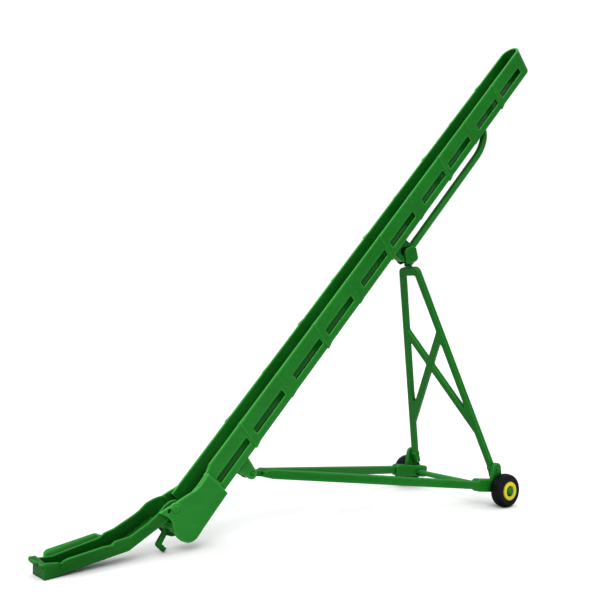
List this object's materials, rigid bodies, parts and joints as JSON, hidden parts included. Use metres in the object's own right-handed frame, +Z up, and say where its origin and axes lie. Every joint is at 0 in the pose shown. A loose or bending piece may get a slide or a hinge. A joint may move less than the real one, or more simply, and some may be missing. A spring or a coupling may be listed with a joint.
{
  "type": "toy grain elevator",
  "caption": "Small plastic model of a portable grain elevator: an open slotted trough on a folding wheeled undercarriage, with a hinged hopper at its foot.",
  "frame": {"origin": "centre of the overall box at the level of the ground", "axes": "+X from the hopper towards the raised head, +Y across to the left side, +Z up"},
  "size_m": [0.1744, 0.0454, 0.1468],
  "materials": {
    "green_plastic": "moulded, satin",
    "black_plastic": "moulded, smooth",
    "yellow_plastic": "painted or moulded, smooth"
  },
  "bodies": {
    "trough": {"trough_channel": "green_plastic", "left_cheek": "green_plastic", "right_cheek": "green_plastic", "left_hinge_lug": "green_plastic", "right_hinge_lug": "green_plastic", "rail_catch": "green_plastic", "cheek_cross_bar": "green_plastic", "tow_hitch": "green_plastic", "base_hinge_pin": "green_plastic", "lifting_rail": "green_plastic"},
    "hopper": {"hopper_tray": "green_plastic", "hopper_tip_plate": "green_plastic", "left_wing_board": "green_plastic", "right_wing_board": "green_plastic", "left_hopper_pin": "green_plastic", "right_hopper_pin": "green_plastic"},
    "base_frame": {"base_tongue": "green_plastic", "axle_rod": "green_plastic", "left_base_rail": "green_plastic", "right_base_rail": "green_plastic", "left_wheel_block": "green_plastic", "right_wheel_block": "green_plastic", "left_leg_lug": "green_plastic", "right_leg_lug": "green_plastic", "left_leg_pin": "green_plastic", "right_leg_pin": "green_plastic", "left_axle_cap": "green_plastic", "right_axle_cap": "green_plastic"},
    "leg_frame": {"leg_crossbar": "green_plastic", "rail_fork": "green_plastic", "cross_brace": "green_plastic", "upper_half_brace": "green_plastic", "lower_half_brace": "green_plastic", "left_leg": "green_plastic", "right_leg": "green_plastic"},
    "left_wheel": {"left_tyre": "black_plastic", "left_rim": "yellow_plastic"},
    "right_wheel": {"right_tyre": "black_plastic", "right_rim": "yellow_plastic"}
  },
  "joints": [
    {"name": "hopper_fold", "type": "hinge", "parent": "trough", "child": "hopper", "pos_m": [-0.05214, 0, 0.01147], "axis": [0, 1, 0], "range_deg": [-20, 125]},
    {"name": "base_fold", "type": "hinge", "parent": "trough", "child": "base_frame", "pos_m": [-0.02728, 0, 0.0168], "axis": [0, -1, 0], "range_deg": [0, 20]},
    {"name": "leg_fold", "type": "hinge", "parent": "base_frame", "child": "leg_frame", "pos_m": [0.05183, 0, 0.0113], "axis": [0, 1, 0], "range_deg": [0, 47.5]},
    {"name": "left_wheel_spin", "type": "hinge", "parent": "base_frame", "child": "left_wheel", "pos_m": [0.05276, 0.02075, 0.005], "axis": [0, 1, 0], "continuous": true},
    {"name": "right_wheel_spin", "type": "hinge", "parent": "base_frame", "child": "right_wheel", "pos_m": [0.05276, -0.02075, 0.005], "axis": [0, 1, 0], "continuous": true}
  ],
  "couplings": [
    {"joint": "leg_fold", "follows": "base_fold", "ratio": 2.37}
  ]
}
